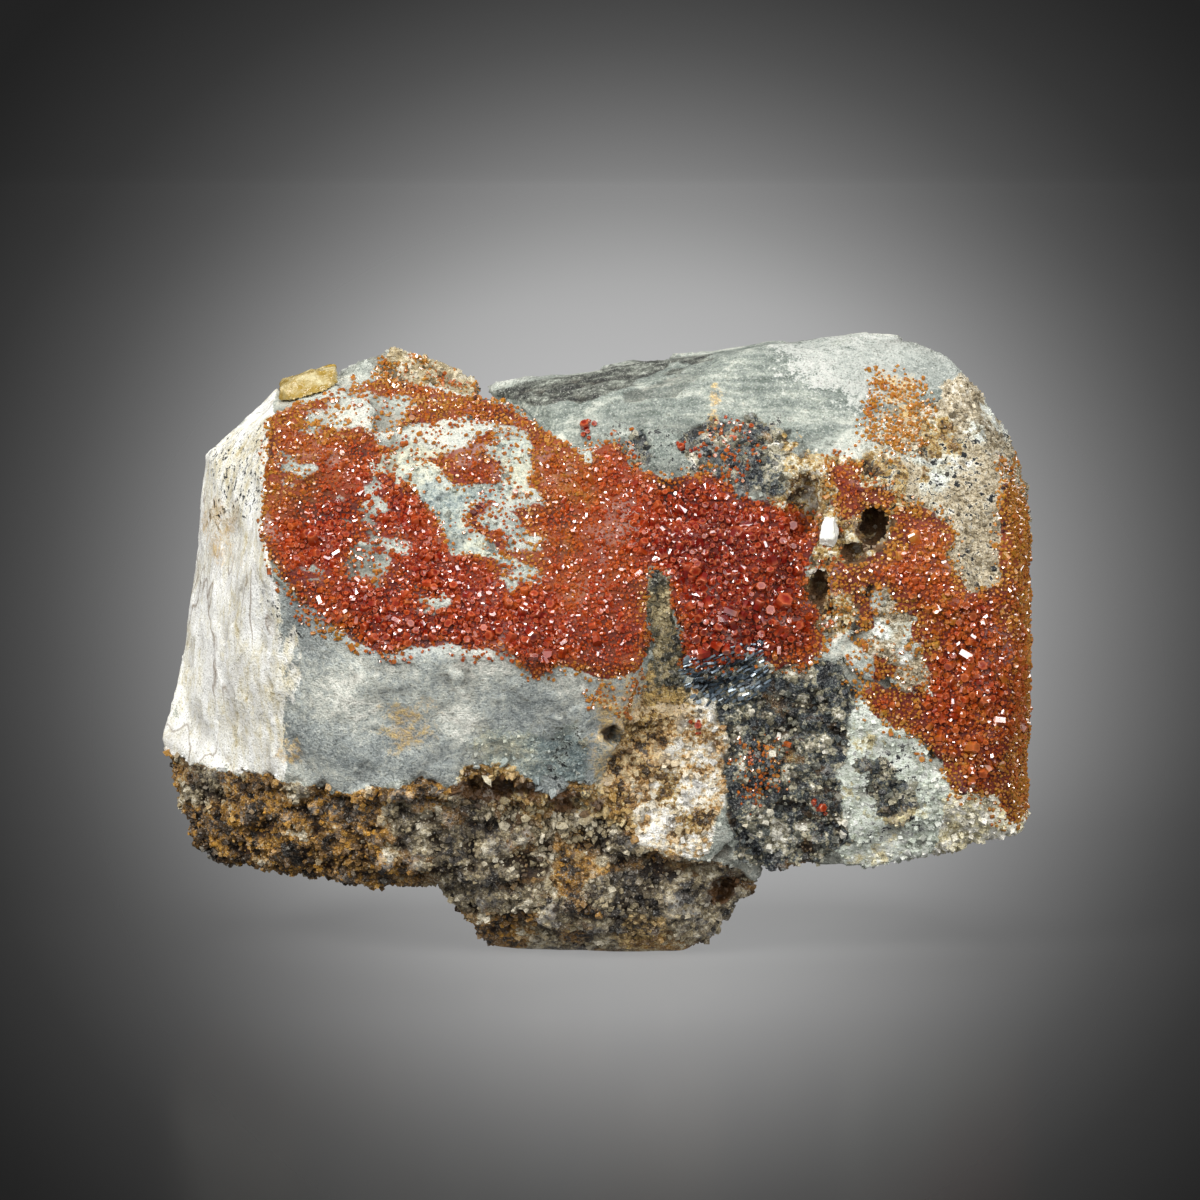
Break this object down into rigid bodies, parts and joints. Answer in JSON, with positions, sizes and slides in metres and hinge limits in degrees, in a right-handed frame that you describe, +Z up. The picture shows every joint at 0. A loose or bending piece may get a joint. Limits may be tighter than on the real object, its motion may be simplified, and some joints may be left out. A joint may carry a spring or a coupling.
{
  "type": "vanadinite crystals on matrix",
  "caption": "Palm-sized broken block of pale vein quartz over brown gossan, standing on its own foot, its front face crusted with small red hexagonal vanadinite crystals.",
  "frame": {"origin": "on the flat of the foot that the rock rests on, under the middle of the rock", "axes": "+Z up, +X along the rock's length to the right as its crystal-covered face is seen, -Y out of the crystal-covered face"},
  "size_m": [0.0885, 0.0464, 0.0605],
  "materials": {
    "rock": "matte",
    "vanadinite": "gloss",
    "dark_metal": "satin",
    "honey_crystal": "gloss",
    "white_crystal": "gloss"
  },
  "bodies": {
    "root": {"matrix": "rock", "vanadinite_crust_left_and_centre": "vanadinite", "vanadinite_crust_right": "vanadinite", "vanadinite_tuft_top_right": "vanadinite", "vanadinite_strip_above_vug": "vanadinite", "vanadinite_sprig_upper_middle": "vanadinite", "vanadinite_streak_lower_middle": "vanadinite", "vanadinite_crystal_upper_left": "vanadinite", "vanadinite_crystal_upper_middle": "vanadinite", "vanadinite_crystal_low_left": "vanadinite", "vanadinite_crystal_low_right": "vanadinite", "dark_metallic_blades": "dark_metal", "honey_crystal": "honey_crystal", "white_crystal_in_vug": "white_crystal"}
  },
  "joints": []
}
